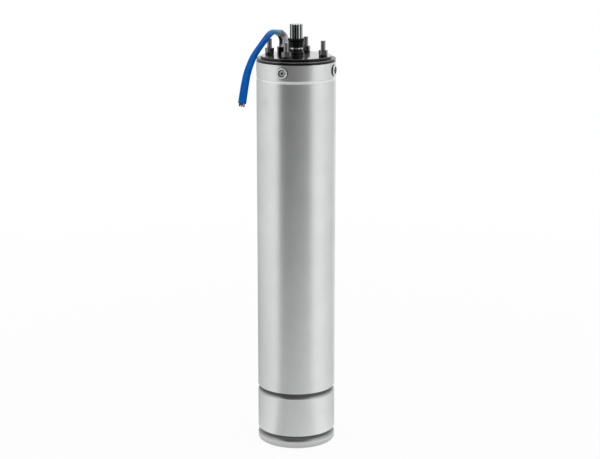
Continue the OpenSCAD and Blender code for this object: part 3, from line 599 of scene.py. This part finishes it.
def turned_rings(profile, sides=72):
    """Rings about Z; a profile point is (radius, height), and either may be a function of the angle."""
    rings = []
    for radius, height in profile:
        ring = []
        for j in range(sides):
            angle = TURN * j / sides
            r = radius(angle) if callable(radius) else radius
            z = height(angle) if callable(height) else height
            ring.append((r * math.cos(angle), r * math.sin(angle), z))
        rings.append(ring)
    return rings


def softened(profile, radius, steps=5):
    """A closed profile with its corners rounded."""
    points = [Vector(p) for p in profile]
    rounded = []
    for before, corner, after in zip(points[-1:] + points[:-1], points, points[1:] + points[:1]):
        to_before = before - corner
        to_after = after - corner
        reach = min(radius, to_before.length * CORNER_SHARE, to_after.length * CORNER_SHARE)
        start = corner + to_before.normalized() * reach
        end = corner + to_after.normalized() * reach
        for step in range(steps + 1):
            t = step / steps
            rounded.append(start * (1 - t) ** 2 + corner * 2 * t * (1 - t) + end * t ** 2)
    return [tuple(p) for p in rounded]


def linked_mesh(name, part, material):
    """A smooth mesh object of one material, in the scene."""
    mesh = bpy.data.meshes.new(name)
    mesh.from_pydata(part[0], [], part[1])
    mesh.shade_smooth()
    mesh.materials.append(material)
    obj = bpy.data.objects.new(name, mesh)
    bpy.context.scene.collection.objects.link(obj)
    return obj


def add_piece(name, part, slot, body, *nodes, material=None):
    """A mesh piece that rides on a body, takes a slot's finish and stands for the named solids."""
    obj = linked_mesh(name, part, material or FINISHES[slot])
    mesh = obj.data
    grown = bmesh.new()
    grown.from_mesh(mesh)
    bmesh.ops.recalc_face_normals(grown, faces=grown.faces)
    grown.to_mesh(mesh)
    grown.free()
    mesh.set_sharp_from_angle(angle=SHARP_ANGLE)
    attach(obj, body)
    if nodes:
        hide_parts(*nodes)
    return obj


# Lead: boot, flat cable and the three cores at its cut end


def smooth_curve(points, per_span):
    """Points on a smooth curve through a list of points in a plane."""
    through = [Vector(p) for p in points]
    last = through[-1]
    knots = [2 * through[0] - through[1]] + through + [2 * last - through[-2]]
    curve = []
    for a, b, c, d in zip(knots, knots[1:], knots[2:], knots[3:]):
        for step in range(per_span):
            t = step / per_span
            bend = 2 * a - 5 * b + 4 * c - d
            curl = 3 * b - a - 3 * c + d
            curve.append((2 * b + (c - a) * t + bend * t ** 2 + curl * t ** 3) / 2)
    return curve + [last]


def way_at(curve, i):
    """Direction of the lead's curve at a point, in the lead's plane."""
    return (curve[min(i + 1, len(curve) - 1)] - curve[max(i - 1, 0)]).xy.normalized()


def across_lead(p, way, wide, thick, past=0.0):
    """The frame's point in the lead's section at a place on its curve, or straight past that place."""
    turn = math.radians(p.z)
    side = wide * math.cos(turn) - thick * math.sin(turn)
    up = wide * math.sin(turn) + thick * math.cos(turn)
    return lead_point(p.x + way.x * past - way.y * up, p.y + way.y * past + way.x * up, side)


def swept(curve, section_at, start_way=None):
    """Rings along a curve in the lead's plane; section_at gives (wide, thick) from a share of the way."""
    rings = []
    for i, p in enumerate(curve):
        way = Vector(start_way) if i == 0 and start_way else way_at(curve, i)
        rings.append([across_lead(p, way, *q) for q in section_at(i / (len(curve) - 1))])
    return rings


def flat_section(half_wide, half_thick, dent, arc=12, straight=24):
    """Flat cable's section: two round edges, and flats that dip between the cores."""
    flat = half_wide - half_thick
    pitch = 2 * flat / (CORES - 1)
    points = []
    for sign in (1, -1):
        for j in range(arc + 1):
            angle = math.pi * (j / arc - 0.5)
            wide = flat + half_thick * math.cos(angle)
            points.append((sign * wide, sign * half_thick * math.sin(angle)))
        for j in range(1, straight):
            side = flat * (1 - 2 * j / straight)
            dip = dent * (1 - math.cos(TURN * side / pitch)) / 2
            points.append((sign * side, sign * (half_thick - dip)))
    return points


def soft_oval(half_wide, half_thick, power, sides=48):
    """Section between an ellipse, at a power of 2, and a rounded slab."""
    points = []
    for j in range(sides):
        c = math.cos(TURN * j / sides)
        s = math.sin(TURN * j / sides)
        points.append((math.copysign(abs(c) ** (2 / power), c) * half_wide,
                       math.copysign(abs(s) ** (2 / power), s) * half_thick))
    return points


def boot_section(share):
    """Boot: round at the gland, lobed over the cores, flat at its mouth, with a bead round the mouth."""
    bead = BOOT_BEAD * math.exp(-((share - BOOT_BEAD_AT) / BOOT_BEAD_SPREAD) ** 2)
    lip = BOOT_LIP_ROUND * max(0, (share - BOOT_BEAD_AT) / (1 - BOOT_BEAD_AT)) ** 2
    ease = share * share * (3 - 2 * share)
    grow = bead - lip
    half_wide = BOOT_ROUND / 2 + (BOOT_MOUTH[0] / 2 - BOOT_ROUND / 2) * ease + grow
    half_thick = BOOT_ROUND / 2 + (BOOT_MOUTH[1] / 2 - BOOT_ROUND / 2) * ease + grow
    pitch = half_wide * BOOT_CORES
    start, end = BOOT_DIP_ENDS
    dip = BOOT_DIP * min(1, share / start) * min(1, (1 - share) / end)
    points = []
    for wide, thick in soft_oval(half_wide, half_thick, 2 + BOOT_SQUARE * ease):
        between = (1 - math.cos(TURN * wide / pitch)) / 2 if abs(wide) < pitch else 0
        points.append((wide, thick * (1 - dip * between)))
    return points


def core_places():
    """Side offset of each core, in millimetres."""
    flat = (CABLE_WIDTH - CABLE_THICK) / 2 / MM
    return [flat * (2 * k / (CORES - 1) - 1) for k in range(CORES)]


def core_tube(curve, wide, thick, radius, end, sides=20):
    """Straight round stub beyond the lead's cut end, reaching so many millimetres past it."""
    way = way_at(curve, len(curve) - 1)
    rings = []
    tip = radius * CORE_TIP
    for past, r in ((0, radius), (end - tip, radius), (end, radius - tip)):
        ring = []
        for j in range(sides):
            angle = TURN * j / sides
            aside = wide + r * math.cos(angle)
            ring.append(across_lead(curve[-1], way, aside, thick + r * math.sin(angle), past))
        rings.append(ring)
    return loft(rings)


def add_lead():
    boot = swept(smooth_curve(BOOT_ROUTE, BOOT_STEPS), boot_section, (0, 1))
    add_piece("lead_boot_moulding", loft(boot), "boot_rubber", "housing", "lead_boot")
    curve = smooth_curve(CABLE_ROUTE, CABLE_STEPS)
    section = flat_section(CABLE_WIDTH / 2 / MM, CABLE_THICK / 2 / MM, CABLE_DENT)
    jacket = add_piece("lead_cable_jacket", loft(swept(curve, lambda share: section)),
                       "blue_jacket", "housing", "lead_cable")
    jacket.visible_glossy = False
    strands = []
    for k, side in enumerate(core_places()):
        material = finish("core_sleeve_%d" % k, *CORE_COLOURS[k], (0.35, 0.5), depth=0.01 * MM)
        sleeve = core_tube(curve, side, 0, CORE_RADIUS, CORE_SLEEVE)
        add_piece("lead_core_sleeve_%d" % k, sleeve, "lead_insulation", "housing",
                                 material=material)
        strands.append(core_tube(curve, side, 0, STRAND_RADIUS, CORE_STUB, STRAND_SIDES))
        for j in range(STRANDS_ROUND):
            angle = TURN * j / STRANDS_ROUND
            wide = side + 2 * STRAND_RADIUS * math.cos(angle)
            thick = 2 * STRAND_RADIUS * math.sin(angle)
            strands.append(core_tube(curve, wide, thick, STRAND_RADIUS, CORE_STUB, STRAND_SIDES))
    copper = add_piece("lead_core_strands", joined(strands), "winding_copper", "housing", "lead_cores")


# Fasteners on the flange and the shell


def hexagon(across_flats):
    """Radius of a hexagon with slightly dulled corners, as a function of the angle."""
    flat = across_flats / 2
    corner = across_flats / math.sqrt(3) * HEX_DULL

    def radius(angle):
        turn = (angle + TURN / 12) % (TURN / 6) - TURN / 12
        return min(flat / math.cos(TURN / 12 - abs(turn)), corner)
    return radius


def hex_nut(across_flats, height, bore):
    """Nut with chamfered ends and a countersunk bore, standing on its lower face."""
    outline = hexagon(across_flats)
    face = across_flats / 2 * NUT_FACE
    slope = math.tan(NUT_SLOPE)
    sink = bore + NUT_SINK

    def low(angle):
        return (outline(angle) - face) * slope

    def high(angle):
        return height - (outline(angle) - face) * slope
    drop = sink - bore
    return loft(turned_rings([
        (bore, drop), (sink, 0), (face, 0), (outline, low), (outline, high), (face, height),
        (sink, height), (bore, height - drop),
    ]), closed=True)


def thread_height(turns):
    """Share of a thread's depth at a number of turns: broad crests, straight flanks and narrow roots."""
    wave = abs(2 * (turns % 1) - 1)
    return max(0, min(1, THREAD_FLANK * wave - THREAD_ROOT))


def threaded_stud(radius, core, foot, start, tip, pitch, sides=40, steps=10):
    """Stud about Z: plain core from its foot to start, then thread up to a chamfered tip."""
    rings = turned_rings([(core, foot), (core, start)], sides)
    count = math.ceil((tip - start) / pitch * steps)
    for i in range(count + 1):
        z = start + (tip - start) * i / count
        most = radius - max(0, z - tip + (radius - core))

        def profile(angle):
            ridge = core + (radius - core) * thread_height(z / pitch - angle / TURN)
            return min(ridge, most)
        rings += turned_rings([(profile, z)], sides)
    return loft(rings)


def socket_screw(head_radius, head, shank_radius, shank, socket, depth):
    """Case screw along +Z from under its head, with a full round rim about its socket."""
    mouth = SCREW_AF / math.sqrt(3) + SCREW_LEDGE
    edge = head_radius - mouth
    profile = [
        (shank_radius * SCREW_POINT, -shank), (shank_radius, -shank + SCREW_POINT_LENGTH),
        (shank_radius, 0), (head_radius, 0),
    ]
    for step in range(SCREW_RIM_STEPS + 1):
        angle = TURN / 4 * step / SCREW_RIM_STEPS
        profile.append((mouth + edge * math.cos(angle), head - edge + edge * math.sin(angle)))
    floor = head - depth
    profile += [(socket, head - SCREW_EDGE_DROP), (socket, floor), (SCREW_MIDDLE, floor)]
    return loft(turned_rings(profile))


def socket_lining(head, depth, taper):
    """Walls of a screw's socket in black, as painted shade, closing in towards its floor."""
    mouth = hexagon(SCREW_AF - LINING_ROOM)
    floor = hexagon(SCREW_AF - taper)
    top = head - LINING_TOP
    low = head - depth + LINING_FOOT
    profile = [(mouth, top), (mouth, low), (floor, low), (floor, low + LINING_EDGE)]
    return loft(turned_rings(profile), closed=True)


def socket_floor(level, taper, drill):
    """Floor of a screw's socket with a hole in its middle for the drill point."""
    edge = hexagon(SCREW_AF - taper - SOCKET_FLOOR_ROOM)
    below = level - SOCKET_FLOOR_THICK
    profile = [(edge, level), (drill, level), (drill, below), (edge, below)]
    return loft(turned_rings(profile), closed=True)


def drill_point(level, drill):
    """Conical drill mark in a socket's floor, black as painted shade."""
    deep = level - drill
    profile = [
        (drill, level), (DRILL_TIP, deep), (DRILL_TIP, deep - DRILL_SKIN), (drill, level - DRILL_SKIN),
    ]
    return loft(turned_rings(profile), closed=True)


def shadow_ring(inner, outer, low, high):
    """Black rubber ring with a round outer edge, about Z, as a painted shadow."""
    profile = softened([(inner, low), (outer, low), (outer, high), (inner, high)], SHADOW_RING_ROUND)
    return loft(turned_rings(profile), closed=True)


def add_fasteners():
    stud_low, stud_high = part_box("flange_studs")
    nut_low, nut_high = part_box("stud_nuts")
    stud_radius = STUD_D / 2
    ring_radius = stud_high.x - stud_radius
    ring = Matrix.Translation((ring_radius, 0, 0))
    core = stud_radius * STUD_CORE
    stud = threaded_stud(stud_radius, core, stud_low.z, nut_high.z, stud_high.z, STUD_PITCH)
    add_piece("flange_studs_threaded", around(placed(stud, ring), FASTENERS), "bright_steel", "housing",
              "flange_studs")
    nut = hex_nut(NUT_AF, nut_high.z - nut_low.z, core + NUT_ROOM)
    nut = placed(nut, Matrix.Rotation(TURN / 12, 4, "Z"))
    nuts = []
    for i in range(FASTENERS):
        angle = TURN * i / FASTENERS
        seat = (ring_radius * math.cos(angle), ring_radius * math.sin(angle), nut_low.z)
        nuts.append(placed(nut, Matrix.Translation(seat)))
    add_piece("stud_nuts_chamfered", joined(nuts), "bright_steel", "housing", "stud_nuts",
              material=NUT_STEEL)


def add_case_screws():
    low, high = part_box("case_screws")
    outward = Matrix.Translation((high.x - SCREW_HEAD, 0, (low.z + high.z) / 2))
    outward = outward @ Matrix.Rotation(TURN / 4, 4, "Y") @ Matrix.Rotation(TURN / 12, 4, "Z")

    def four(part):
        return around(placed(part, outward), FASTENERS)
    head_radius = (high.z - low.z) / 2
    screw = socket_screw(head_radius, SCREW_HEAD, SCREW_CORE, SCREW_LENGTH, hexagon(SCREW_AF),
                         SCREW_SOCKET)
    add_piece("case_screws_socket", four(screw), "bright_steel", "housing", "case_screws", material=ZINC)
    foot = SHELL_D / 2 - high.x + SCREW_HEAD
    # Black rubber rings round the heads, as a painted shadow
    dark_ring = shadow_ring(head_radius - SHADOW_RING_ROUND, head_radius + SHADOW_RING_EDGE, foot - SHADOW_RING_SUNK, foot + SHADOW_RING_RISE)
    add_piece("case_screw_shadow_rings", four(dark_ring), "seal_rubber", "housing")
    # Socket linings and drill marks in black, as painted shade
    lining = socket_lining(SCREW_HEAD, SCREW_SOCKET, SOCKET_TAPER)
    add_piece("case_screw_linings", four(lining), "bright_steel", "housing", material=SOCKET_SHADE_BLACK)
    level = SCREW_HEAD - SCREW_SOCKET + SCREW_DRILL + SOCKET_FLOOR_RISE
    floor = socket_floor(level, SOCKET_TAPER, SCREW_DRILL)
    add_piece("case_screw_floors", four(floor), "bright_steel", "housing", material=SOCKET_STEEL)
    add_piece("case_screw_drill_points", four(drill_point(level, SCREW_DRILL)), "bright_steel", "housing",
              material=SOCKET_SHADE_BLACK)


def add_slinger():
    """Rubber sand slinger with a soft lip, in place of its solid."""
    low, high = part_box("sand_slinger")
    lip = high.x
    body = lip - SLINGER_STEP
    bore = SHAFT_D / 2 + SLINGER_ROOM
    top = high.z - low.z
    flare = top - SLINGER_LIP
    profile = [(bore, 0), (body, 0), (body, flare - SLINGER_FLARE), (lip, flare), (lip, top), (bore, top)]
    rings = turned_rings(softened(profile, SLINGER_ROUND))
    part = placed(loft(rings, closed=True), Matrix.Translation((0, 0, low.z)))
    add_piece("sand_slinger_rubber", part, "seal_rubber", "rotor", "sand_slinger")


# Studio: pale floor, white surround, soft lamps and grey cards that only reflections see


def white_to_eye(tree):
    """1 for rays that come from the camera, a mirror or glass, and 0 for light on the object."""
    path = add(tree, "LightPath")
    seen = path.outputs["Is Camera Ray"]
    for kind in ("Is Glossy Ray", "Is Transmission Ray"):
        seen = add(tree, "Math", {0: seen, 1: path.outputs[kind]}, operation="MAXIMUM").outputs[0]
    return seen


def add_world():
    world = bpy.data.worlds.new("studio")
    bpy.context.scene.world = world
    world.use_nodes = True
    tree = world.node_tree
    tree.nodes.clear()
    level = add(tree, "Background", {"Color": (1, 1, 1, 1), "Strength": WORLD_LEVEL})
    white = add(tree, "Background", {"Color": (1, 1, 1, 1), "Strength": 1.0})
    shader = add(tree, "MixShader", {0: white_to_eye(tree), 1: level.outputs[0], 2: white.outputs[0]})
    output = tree.nodes.new("ShaderNodeOutputWorld")
    tree.links.new(shader.outputs[0], output.inputs[0])


def add_floor():
    """Pale floor that keeps a soft shadow near the object and fades to white further out."""
    material, tree, output = new_material("floor")
    spread = add(tree, "VectorMath", {0: position(tree)}, operation="LENGTH").outputs["Value"]
    glow = ranged(tree, spread, FLOOR_GLOW, 1.0, FLOOR_R * FLOOR_FADE[0], FLOOR_R * FLOOR_FADE[1])
    seen = product(tree, white_to_eye(tree), glow)
    paper = add(tree, "BsdfDiffuse", {"Color": linear("#efefee")})
    white = add(tree, "Emission", {"Color": (1, 1, 1, 1), "Strength": 1.0})
    shader = add(tree, "MixShader", {0: seen, 1: paper.outputs[0], 2: white.outputs[0]})
    tree.links.new(shader.outputs[0], output.inputs[0])
    ring = turned_rings([(FLOOR_R, FLOOR_Z)])[0]
    linked_mesh("floor", (ring, [tuple(range(len(ring)))]), material)


def around_object(turn):
    """Direction from the shaft that is turned so far from the camera's side, to the camera's right."""
    return TO_CAMERA * math.cos(turn) + TO_RIGHT * math.sin(turn)


def grey_card(name, start, end, radius, top, near, far, wall, lean):
    """Curved card about the object, which only reflections see, with a floor part that lies before it.

    Its grey goes from near to far along the floor, is even on the wall, and rises by the lean to its end.
    """
    material, tree, output = new_material(name)
    reach = add(tree, "VectorMath", {0: position(tree)}, operation="LENGTH").outputs["Value"]
    ground = ranged(tree, reach, near, far, CARD_APRON, radius)
    level = ranged(tree, height_of(tree), ground, wall, CARD_FOOT * 0.5, CARD_FOOT)
    sides = {0: distance_along(tree, TO_RIGHT), 1: distance_along(tree, TO_CAMERA)}
    angle = add(tree, "Math", sides, operation="ARCTAN2").outputs[0]
    lift = ranged(tree, angle, 0.0, lean, math.radians(start), math.radians(end))
    total = add(tree, "Math", {0: level, 1: lift}, operation="ADD").outputs[0]
    shader = add(tree, "Emission", {"Color": (1, 1, 1, 1), "Strength": total})
    tree.links.new(shader.outputs[0], output.inputs[0])
    verts = []
    faces = []
    foot = FLOOR_Z + CARD_LIFT
    for row, (away, up) in enumerate(((CARD_APRON, foot), (radius, foot), (radius, top))):
        for i in range(CARD_STEPS + 1):
            turn = math.radians(start + (end - start) * i / CARD_STEPS)
            verts.append(tuple(around_object(turn) * away + Vector((0, 0, up))))
            if row and i:
                here = len(verts) - 1
                under = here - CARD_STEPS - 1
                faces.append((under - 1, under, here, here - 1))
    card = linked_mesh(name, (verts, faces), material)
    for kind in ("camera", "diffuse", "transmission", "volume_scatter", "shadow"):
        setattr(card, "visible_" + kind, False)


def soft_lamp(name, angle, distance, level, width, tall, strength):
    """Soft box at an angle from the camera's side, which neither the camera nor reflections see."""
    lamp = bpy.data.objects.new(name, bpy.data.lights.new(name, "AREA"))
    bpy.context.scene.collection.objects.link(lamp)
    lamp.data.shape = "RECTANGLE"
    lamp.data.size = width
    lamp.data.size_y = tall
    lamp.data.energy = strength * math.pi * width * tall
    lamp.location = around_object(math.radians(angle)) * distance + Vector((0, 0, level))
    aim(lamp, LAMP_AIM)
    lamp.visible_camera = False
    lamp.visible_glossy = False


def add_studio():
    add_world()
    add_floor()
    grey_card("front_card", start=-50, end=45, radius=1.9, top=3.0,
              near=0.55, far=0.1, wall=0.04, lean=0.24)
    grey_card("left_card", start=-172, end=-50, radius=0.7, top=0.95,
              near=0.36, far=0.36, wall=0.45, lean=0.62)
    grey_card("right_card", start=80, end=140, radius=0.7, top=0.95,
              near=0.92, far=0.92, wall=0.92, lean=-0.3)
    soft_lamp("left_box", angle=-80, distance=1.0, level=0.45, width=0.55, tall=0.9, strength=1.5)
    soft_lamp("right_box", angle=68, distance=1.0, level=0.45, width=0.4, tall=0.9, strength=1.2)
    soft_lamp("top_box", angle=30, distance=0.6, level=1.5, width=0.8, tall=0.8, strength=0.6)


add_camera()
dress_nodes()
add_lead()
add_fasteners()
add_case_screws()
add_slinger()
add_studio()

bpy.context.scene.view_settings.view_transform = "Standard"
